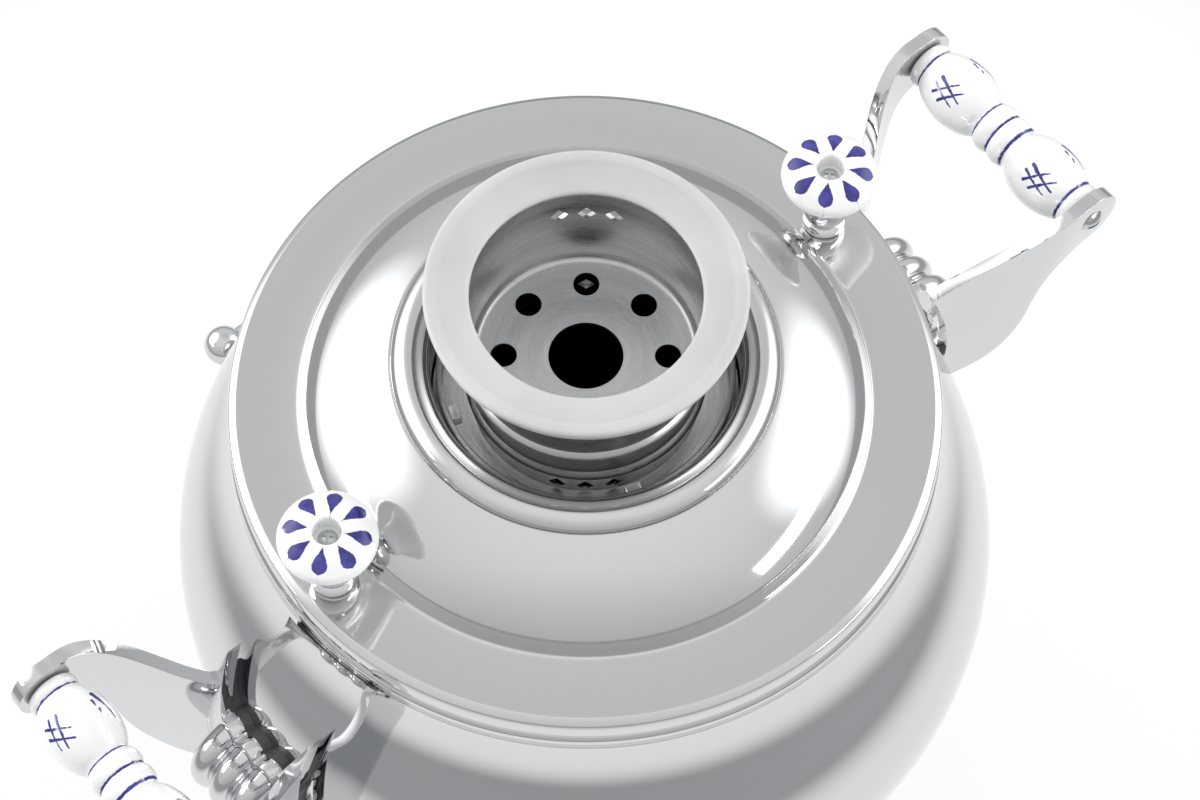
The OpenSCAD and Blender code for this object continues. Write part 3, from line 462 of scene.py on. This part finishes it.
shell = spinOutline(urnOutline(0) + urnOutline(-urn["wall"], 36, 10)[::-1], 256)
# the inner faces take the second slot: dull steel darkened as painted shade of the closed tank
for face in shell.faces:
    middle = face.calc_center_median()
    face.material_index = int(face.normal.dot(Vector((middle.x, middle.y, 0))) < 0)
shellPiece = placePiece("urnShell", shell, "urn", "chrome", ["body_shell"])
shellPiece.data.materials.append(tankInside)

collar = spinOutline([(107.8, 278.05), (109.8, 278.05), (110.4, 279.2), (110.4, 284.2), (109.4, 285.6),
                      (93.2, 285.6), (93.2, 276.6), (94.6, 276.6), (94.6, 284), (107.8, 284)], 256)
roundEdges(collar, 0.35)
placePiece("collarRing", collar, "urn", "chrome", ["collar_ring"])

pedestal = {"skirtRadius": 93, "foot": 16, "skirtHeight": 28, "capRadius": 57.5, "top": 103.4,
            "inletAt": (0, 0.1, 0.0296), "inletHole": (0.0284, 0.04, 0.0204),
            "frontHoles": ((0, 0.004), (0.034, 0.0044))}


def coveLine(offset, count):
    low = pedestal["foot"] + pedestal["skirtHeight"]
    skirt, cap, top = pedestal["skirtRadius"], pedestal["capRadius"], pedestal["top"]
    start = (skirt - 1.5, low + 2)
    curve = [start] + bezierPoints(
        start, (skirt - 10, low + 16), (cap - 3, top - 32), (cap, top - 10), count)
    return [(r + offset, z) for r, z in curve] + [(cap + offset, top + offset * 0.37)]


base = spinOutline([(94.5, 16), (94.5, 42), (93, 44)] + coveLine(0, 32) + coveLine(-1.6, 20)[::-1] +
                   [(89.8, 43), (92.9, 41), (92.9, 16)], 256)
roundEdges(base, 0.4)
basePiece = placePiece("pedestal", base, "urn", "chrome", ["base_pedestal"])
# holes in the skirt for the mains inlet, the dial and the lamp
openings = bmesh.new()
bmesh.ops.create_cube(openings, size=1, matrix=Matrix.Translation(pedestal["inletAt"]) @
                      Matrix.Diagonal((*pedestal["inletHole"], 1)))
for x, radius in pedestal["frontHoles"]:
    bmesh.ops.create_cone(openings, cap_ends=True, segments=48, radius1=radius, radius2=radius, depth=0.03,
                          matrix=Matrix.Translation((x, -0.092, 0.029)) @
                          Matrix.Rotation(math.radians(90), 4, "X"))
cutAway(basePiece, openings)

lowRing = spinOutline([(85, 4), (97, 4), (99, 6), (99, 11), (97.5, 13.5),
                       (94.5, 16), (91, 16), (91, 7), (85, 7)], 256)
roundEdges(lowRing, 0.6)
placePiece("baseRing", lowRing, "urn", "chrome", ["base_ring"])
print("urn made")


dome = {"foot": (85.7, 301.0), "head": (59.0, 318.6)}


def domeLine(drop, count):
    foot, head = dome["foot"], dome["head"]
    curve = [foot] + bezierPoints(
        foot, (foot[0] - 6, foot[1] + 8), (head[0] + 11, head[1] - 3.2), head, count)
    return [(r - drop * 0.5, z - drop) for r, z in curve]


annulus = [(107.2 + (87.9 - 107.2) * i / 20, rimZ - 0.5 * math.sin(math.pi * i / 20)) for i in range(1, 20)]
lidTop = ([(110, 286.4), (110, 291.6), (109.4, 293.6), (107.2, 295)] + annulus +
          [(87.9, 295.1), (87.5, 296), (86.9, 298)] + domeLine(0, 48))
lidUnder = [(108.6, 286.4), (108.6, 291.4), (106.8, 293.6), (86.5, 293.6)] + domeLine(1.4, 24)
lid = spinOutline(lidTop + lidUnder[::-1], 256)
roundEdges(lid, 0.3)
placePiece("lidShell", lid, "lid", "chrome", ["lid_shell"])

rollCentre = (53.2, 316.6)
neck = spinOutline([(58.2, 317.1), (58.9, 318.5)] + arcPoints(rollCentre, 6, 24, 180, 36) +
                   [(47, 314.6), (47, 298), (40, 298), (40, 296.6), (48.4, 296.6), (48.4, 314.6)] +
                   arcPoints(rollCentre, 4.6, 170, 20, 20), 192)
roundEdges(neck, 0.3)
placePiece("neckRing", neck, "lid", "chrome", ["neck_ring"])

stems = bmesh.new()
for side in (-1, 1):
    stem = spinOutline([(2.2, 295.02), (6.4, 295.02), (6.8, 295.4), (6.8, 296.2), (6.3, 296.8),
                        (5, 297.4)] + arcPoints((0, 303.2), 7, -42, 48, 24) +
                       [(4.4, 309), (5.4, 310), (2.2, 310)], 64)
    bmesh.ops.translate(stem, verts=stem.verts, vec=(side * knob["at"] * mm, 0, 0))
    part = bpy.data.meshes.new("stemPart")
    stem.to_mesh(part)
    stems.from_mesh(part)
    stem.free()
    bpy.data.meshes.remove(part)
placePiece("knobStems", stems, "lid", "chrome", ["knob_stems"])

r, top, foot = knob["radius"], knob["top"], knob["stemTop"]
knobOutline = ([(2.2, foot + 0.02), (6, foot + 0.02), (7.2, foot + 1.4)] +
               bezierPoints((7.2, foot + 1.4), (8.4, foot + 5.5),
                            (12.4, foot + 7.4), (r - 0.5, top - 6.6), 16) +
               arcPoints((r - 2.6, top - 5), 2.6, -25, 60, 16) +
               bezierPoints((r - 1.3, top - 2.75), (11, top - 0.8), (8.5, top - 0.1), (5.4, top), 12) +
               arcPoints((5.2, top - 0.9), 0.9, 85, 175, 6) + [(4.3, top - 6), (2.2, top - 6)])
for label, side in (("right", 1), ("left", -1)):
    button = spinOutline(knobOutline, 96)
    bmesh.ops.translate(button, verts=button.verts, vec=(side * knob["at"] * mm, 0, 0))
    placePiece(label + "Knob", button, "lid", "porcelain", [label + "_knob"])
print("lid made")


crown = {"inner": 34.2, "outer": 35.4, "lip": 45.4, "foot": 298.3, "seat": 356.0, "turn": 140.2,
         "beads": 2, "beadPitch": 12.5, "diamond": 2.8, "diamondPitch": 13.8,
         "studs": 4, "studAt": (0.04204, 0, 0.3078), "studSize": (0.00328, 0.0048, 0.0046)}
beads = [(crown["outer"] + 1.5 * math.sin(math.pi * i / 10), rimZ + 12 + crown["beadPitch"] * k + 0.5 * i)
         for k in range(crown["beads"]) for i in range(11)]
inner, outer, lip, foot = (crown[part] for part in ("inner", "outer", "lip", "foot"))
cupOutline = ([(inner, foot), (lip, foot), (lip, 312), (44.6, 313), (43.8, 312), (43.8, 299.5),
               (outer, 299.5)] + beads + [(outer, 337)] +
              bezierPoints((outer, 337), (35.6, 347), (36.6, 355), (43, 356.45), 24) + [(43, 357.65)] +
              bezierPoints((43, 357.65), (36.6, 357), (34.4, 352), (inner, 341), 24) +
              [(inner, 321.6)] + arcPoints((32, 321.6), 2.2, 0, -90, 8)[1:] +
              [(32, 319.42), (34.19, 319.42)])
cup = spinOutline(cupOutline, 192)
roundEdges(cup, 0.2, angle=50)
cupPiece = placePiece("crownCup", cup, "crown", "brushed_steel", ["crown_cup"])
diamonds = bmesh.new()
for half in (0, 180):
    for k in (-1, 0, 1):
        for height in (crown["seat"] - 11, foot + 4.6):
            turn = Matrix.Rotation(
                math.radians(crown["turn"] + 90 + half + k * crown["diamondPitch"]), 4, "Z")
            bmesh.ops.create_cone(diamonds, cap_ends=True, segments=4, radius1=crown["diamond"] * mm,
                                  radius2=crown["diamond"] * mm, depth=12 * mm,
                                  matrix=turn @ Matrix.Translation((inner * mm, 0, height * mm)) @
                                  Matrix.Rotation(math.radians(90), 4, "Y"))
cutAway(cupPiece, diamonds)

studs = bmesh.new()
for k in range(crown["studs"]):
    turn = Matrix.Rotation(math.radians(crown["turn"] - 70 + k * 90), 4, "Z")
    bmesh.ops.create_cube(studs, size=1, matrix=turn @ Matrix.Translation(crown["studAt"]) @
                          Matrix.Diagonal((*crown["studSize"], 1)))
roundEdges(studs, 0.4)
placePiece("crownStuds", studs, "crown", "brushed_steel", ["crown_studs"])

soft = spinOutline([(40.5, 355.5), (40.6, 354.7), (44.5, 354.4), (46.6, 354.9)] +
                   arcPoints((46.4, 358.7), 1.2, -20, 90, 10) +
                   [(44.6, 359.9), (43.6, 359.35), (43, 359.1), (36, 357.7)] +
                   bezierPoints((36, 357.7), (34.9, 357.5), (34.1, 357.2), (34.1, 356.4), 8) +
                   [(34.15, 355.9), (38, 356.4), (43.05, 357.85), (43.05, 356.4)], 192)
roundEdges(soft, 0.15, angle=45)
placePiece("siliconeRing", soft, "crown", "silicone", ["silicone_ring"])
print("crown made")


arm = {"thickness": 4.6, "eye": (grip["at"], grip["z"]), "eyeRadius": 10.6, "clearance": 7.0,
       "plan": [(120, 17.5), (143, 17.5), (150, 40.4), (172, 40.4)], "edge": 1.1}
wingLow, rootLow = (160.5, rimZ - 70), (132, rimZ - 124)
eyeStart = arcPoints(arm["eye"], arm["eyeRadius"], -95, -95, 1)[0]
eyeStop = arcPoints(arm["eye"], arm["eyeRadius"], 100, 100, 1)[0]
armOutline = (arcPoints(arm["eye"], arm["eyeRadius"], -95, 100, 32) +
              bezierPoints(eyeStop, (157, rimZ - 19), (147, rimZ - 47), (134, rimZ - 59), 24) +
              [(117, rimZ - 66), (112, rimZ - 90), (118, rimZ - 126), rootLow] +
              bezierPoints(rootLow, (147, rimZ - 112), (157, rimZ - 96), wingLow, 16) +
              bezierPoints(wingLow, (163.5, rimZ - 50), (168, rimZ - 44), eyeStart, 16)[:-1])


def cubicWeights(u):
    return (1 - u) ** 3, 3 * u * (1 - u) ** 2, 3 * u * u * (1 - u), u ** 3


# the arm's middle line seen from above: its distance out from the handle's plane, and its direction, at x
def armPlan(x):
    plan = arm["plan"]
    if x >= plan[-1][0]:
        return plan[-1][1], Vector((1, 0))
    low, high = 0.0, 1.0
    for _ in range(24):
        u = (low + high) / 2
        here = sum(w * p[0] for w, p in zip(cubicWeights(u), plan))
        low, high = (u, high) if here < x else (low, u)
    y = sum(w * p[1] for w, p in zip(cubicWeights(u), plan))
    legs = zip(((1 - u) ** 2, 2 * u * (1 - u), u * u), plan, plan[1:])
    slope = sum((w * (Vector(q) - Vector(p)) for w, p, q in legs), Vector((0, 0)))
    return y, slope.normalized()


def armFace(shift):
    def place(co):
        y, way = armPlan(co.x / mm)
        return Vector((co.x - way.y * shift * mm, (y + way.x * shift) * mm, co.z))
    return place


# everything within the urn's outline grown by offset
def urnSolid(offset):
    outline = urnOutline(offset, 48, 12)
    return spinOutline([(0, outline[0][1])] + outline + [(0, outline[-1][1])], 192, closed=False)


def turnHalf(bm, side, mirrored=False):
    if mirrored:
        bmesh.ops.scale(bm, vec=(1, -1, 1), verts=bm.verts)
        bmesh.ops.recalc_face_normals(bm, faces=bm.faces)
    if side < 0:
        bmesh.ops.rotate(bm, cent=(0, 0, 0), matrix=Matrix.Rotation(math.pi, 3, "Z"), verts=bm.verts)


mountZ = urn["bellyZ"] + 2


# a point of the belly's face, grown by offset, at (y, z)
def onBelly(offset):
    def place(co):
        y, z = co.y / mm, co.z / mm
        across = (z - urn["bellyZ"]) / (urn["bellyHalfHeight"] + offset)
        radius = (urn["bellyRadius"] + offset) * math.sqrt(1 - across * across)
        return Vector((math.sqrt(radius * radius - y * y) * mm, co.y, co.z))
    return place


# plate and gasket: how far the outline is grown, inner and outer face off the belly, the horns' height;
# bolt and nut: number of sides, radius, start and length
mount = {"plate": (0, 3.02, 7.48, 45), "gasket": (0.5, 0.05, 3, 35), "hornY": 20.6, "lobePitch": 9.6,
         "barrelX": 136, "barrelLift": 3, "core": 12.6, "rib": 4.6, "clearance": 7.6,
         "boltAndNut": ((48, 3, 119.7, 22.3), (6, 7, 124.1, 5))}


# a scalloped outline with a horn at each side of its top, as (y, z) from the mount's centre
def scallops(grow, horn):
    near, hornY = 27, mount["hornY"]
    half = (arcPoints((0, 16), 6 + grow, 90, 44, 8) +
            arcPoints((mount["lobePitch"], 16), 6 + grow, 136, 60, 14) +
            bezierPoints((12.6, 21.2), (14.6 - grow, near - 3), (17 - grow, horn - 12),
                         (hornY, horn + grow), 8) +
            bezierPoints((hornY, horn + grow), (hornY + 0.8 + grow, horn - 8), (hornY + 1 + grow, near + 2),
                         (hornY + 0.6 + grow, near), 8) +
            arcPoints((15.4, 16.5), 4.8 + grow, 30, -30, 8) + arcPoints((13, 0), 7.5 + grow, 35, -35, 12) +
            arcPoints((12.5, -18), 5.5 + grow, 30, -20, 8) + arcPoints((0, -22), 5 + grow, -40, -90, 8))
    return [(y, z + mountZ) for y, z in half + [(-y, z) for y, z in half[-2:0:-1]]]


def bentPlate(grow, inner, outer, horn):
    bm = flatSheet(scallops(grow, horn), (0, 1, 0), (0, 0, 1),
                   [((0, 1, 0), -22, 22, 2.0), ((0, 0, 1), mountZ - 30, mountZ + 48, 2.5)])
    thickenSheet(bm, onBelly(inner), onBelly(outer))
    return bm


# the fluted barrel between the arms: three ribs round an axis along Y
barrelEnd = mount["lobePitch"] + mount["rib"]
barrelOutline = [(0, -barrelEnd), (mount["core"] + 0.6, -barrelEnd)]
for k in (-1, 0, 1):
    barrelOutline += arcPoints((mount["core"], k * mount["lobePitch"]), mount["rib"], -72, 72, 16)
barrelOutline += [(mount["core"] + 0.6, barrelEnd), (0, barrelEnd)]
alongX = Matrix.Rotation(math.radians(90), 4, "Y")
alongY = Matrix.Rotation(math.radians(90), 4, "X")

gripHalf = ([(0.3 + 0.52 * i, 7.9 + 1.15 * math.sin(math.pi * i / 12) ** 0.7) for i in range(13)] +
            [(6.9, 7.7), (7.6, 7.6)] +
            bezierPoints((8.2, 7.8), (14, 12.8), (25.5, 13.3), (32.9, 8.05), 40) +
            [(33.3, 7.75), (33.8, 7.9), (34.4, 8.35), (35.4, 8.45), (36.6, 8.3), (37.2, 7.9), (37.5, 7.3)])
gripOutline = [(radius, y) for y, radius in gripHalf[::-1]]
gripOutline = ([(grip["bore"], -grip["half"])] + [(radius, -y) for radius, y in gripOutline] +
               gripOutline[::-1] + [(grip["bore"], grip["half"])])

for label, side in (("right", 1), ("left", -1)):
    for name, mirrored in (("Front", True), ("Back", False)):
        blade = flatSheet(armOutline, (1, 0, 0), (0, 0, 1), [((1, 0, 0), 114, 176, 1.5)])
        thickenSheet(blade, armFace(-arm["thickness"] / 2), armFace(arm["thickness"] / 2))
        roundEdges(blade, arm["edge"], angle=55, segments=4)
        turnHalf(blade, side, mirrored)
        node = label + "_arm_" + name.lower()
        armPiece = placePiece(label + "Arm" + name, blade, "urn", "cast_chrome", [node], sharp=50)
        cutter = urnSolid(arm["clearance"])
        bmesh.ops.create_cone(cutter, cap_ends=True, segments=48, radius1=grip["rodHole"] * mm,
                              radius2=grip["rodHole"] * mm, depth=0.12,
                              matrix=Matrix.Translation((side * grip["at"] * mm, 0, grip["z"] * mm)) @
                              alongY)
        cutAway(armPiece, cutter, 50)
    shield = bentPlate(*mount["plate"])
    roundEdges(shield, 0.8, angle=50)
    turnHalf(shield, side)
    placePiece(label + "Escutcheon", shield, "urn", "cast_chrome", [label + "_escutcheon"])
    pad = bentPlate(*mount["gasket"])
    turnHalf(pad, side)
    placePiece(label + "Gasket", pad, "urn", "gasket_grey", [label + "_gasket"])
    barrel = spinOutline(barrelOutline, 144, closed=False)
    roundEdges(barrel, 0.5, angle=60)
    barrelPlace = Vector((side * mount["barrelX"], 0, mountZ + mount["barrelLift"])) * mm
    bmesh.ops.transform(barrel, matrix=Matrix.Translation(barrelPlace) @ alongY, verts=barrel.verts)
    barrelPiece = placePiece(label + "Boss", barrel, "urn", "cast_chrome", [label + "_boss"])
    cutAway(barrelPiece, urnSolid(mount["clearance"]))
    bolts = bmesh.new()
    bolts.from_mesh(barrelPiece.data)
    for sides, radius, start, depth in mount["boltAndNut"]:
        bmesh.ops.create_cone(bolts, cap_ends=True, segments=sides, radius1=radius * mm,
                              radius2=radius * mm, depth=depth * mm,
                              matrix=Matrix.Translation((side * (start + depth / 2) * mm, 0, mountZ * mm)) @
                              alongX)
    bolts.to_mesh(barrelPiece.data)
    bolts.free()
    handle = spinOutline(gripOutline, 128)
    bmesh.ops.transform(handle, matrix=Matrix.Translation((side * grip["at"] * mm, 0, grip["z"] * mm)) @
                        alongY, verts=handle.verts)
    placePiece(label + "Grip", handle, "urn", "porcelain", [label + "_grip"], material=paintedGrip)
print("handles made")


# the studio: a softly glowing white table that turns grey further off, so that the polished sides have
# something darker to show
studio = {"whiteTo": 0.36, "greyFrom": 0.8, "white": "fcfcfc", "grey": "a3a5a7", "matt": 0.15, "glow": 0.84,
          "horizon": 0.7, "overhead": 0.98}
floorBm = bmesh.new()
bmesh.ops.create_grid(floorBm, x_segments=1, y_segments=1, size=6)
studioFloor = bpy.data.objects.new("studioFloor", makeMesh("studioFloor", floorBm))
bpy.context.scene.collection.objects.link(studioFloor)
floorMaterial, floorTree = newMaterial("paperTable")
floorPlace = addNode(floorTree, "TexCoord")
farness = addNode(floorTree, "VectorMath", {0: floorPlace.outputs["Object"]},
                  operation="LENGTH").outputs["Value"]
whiteness = addNode(floorTree, "MapRange",
                    {"Value": farness, "From Min": studio["whiteTo"], "From Max": studio["greyFrom"]},
                    interpolation_type="SMOOTHSTEP")
paper = addNode(floorTree, "ValToRGB", {"Fac": whiteness.outputs["Result"]},
                stops=[(0, linearColour(studio["white"])), (1, linearColour(studio["grey"]))])
dimmed = addNode(floorTree, "VectorMath", {0: paper, "Scale": studio["matt"]}, operation="SCALE")
floorShader = addNode(floorTree, "BsdfPrincipled",
                      {"Base Color": dimmed, "Roughness": 0.9, "Emission Color": paper,
                       "Emission Strength": studio["glow"]})
addNode(floorTree, "OutputMaterial", {"Surface": floorShader})
studioFloor.data.materials.append(floorMaterial)
bpy.context.scene.view_settings.view_transform = "Standard"

# directions as the camera sees them: (to its right, away from it, up)
ground = math.radians(140.2)
rightward = Vector((math.cos(ground), math.sin(ground), 0))
awayward = Vector((-rightward.y, rightward.x, 0))


def studioWay(right, away, up):
    return (rightward * right + awayward * away + Vector((0, 0, up))).normalized()


# soft bright and dark patches of the studio: direction, inner and outer angle, strength
patches = [((-0.8, 0.35, 0.45), 8, 36, 1.6), ((0.85, 0.25, 0.45), 8, 32, 1.4),
           ((0.1, 0.42, 0.9), 8, 30, -0.2), ((0, -0.9, 0.1), 10, 60, -0.12)]
world = bpy.data.worlds.new("studio")
bpy.context.scene.world = world
world.use_nodes = True
worldTree = world.node_tree
worldTree.nodes.clear()
direction = addNode(worldTree, "TexCoord").outputs["Generated"]
directionParts = addNode(worldTree, "SeparateXYZ", {"Vector": direction})
light = addNode(worldTree, "MapRange",
                {"Value": directionParts.outputs["Z"], "From Min": 0.0, "From Max": 1.0,
                 "To Min": studio["horizon"], "To Max": studio["overhead"]}).outputs["Result"]
for way, inner, outer, strength in patches:
    facing = addNode(worldTree, "VectorMath", {0: direction, 1: studioWay(*way)},
                     operation="DOT_PRODUCT").outputs["Value"]
    patch = addNode(worldTree, "MapRange",
                    {"Value": facing, "From Min": math.cos(math.radians(outer)),
                     "From Max": math.cos(math.radians(inner)), "To Max": strength},
                    interpolation_type="SMOOTHSTEP")
    light = addNode(worldTree, "Math", {0: light, 1: patch.outputs["Result"]}, operation="ADD")
background = addNode(worldTree, "Background", {"Color": light, "Strength": 1.0})
addNode(worldTree, "OutputWorld", {"Surface": background})


def softbox(name, way, distance, width, height, power):
    data = bpy.data.lights.new(name, "AREA")
    data.shape = "RECTANGLE"
    data.size, data.size_y, data.energy = width, height, power
    lamp = bpy.data.objects.new(name, data)
    target = Vector((0, 0, 0.25))
    lamp.location = target + studioWay(*way) * distance
    lamp.rotation_euler = (target - lamp.location).to_track_quat("-Z", "Y").to_euler()
    bpy.context.scene.collection.objects.link(lamp)


softbox("leftStrip", (-0.9, 0.1, 0.32), 1.7, 1.3, 0.28, 8)
softbox("rightStrip", (0.9, -0.2, 0.3), 1.6, 1.2, 0.25, 7)
print("stage lit")
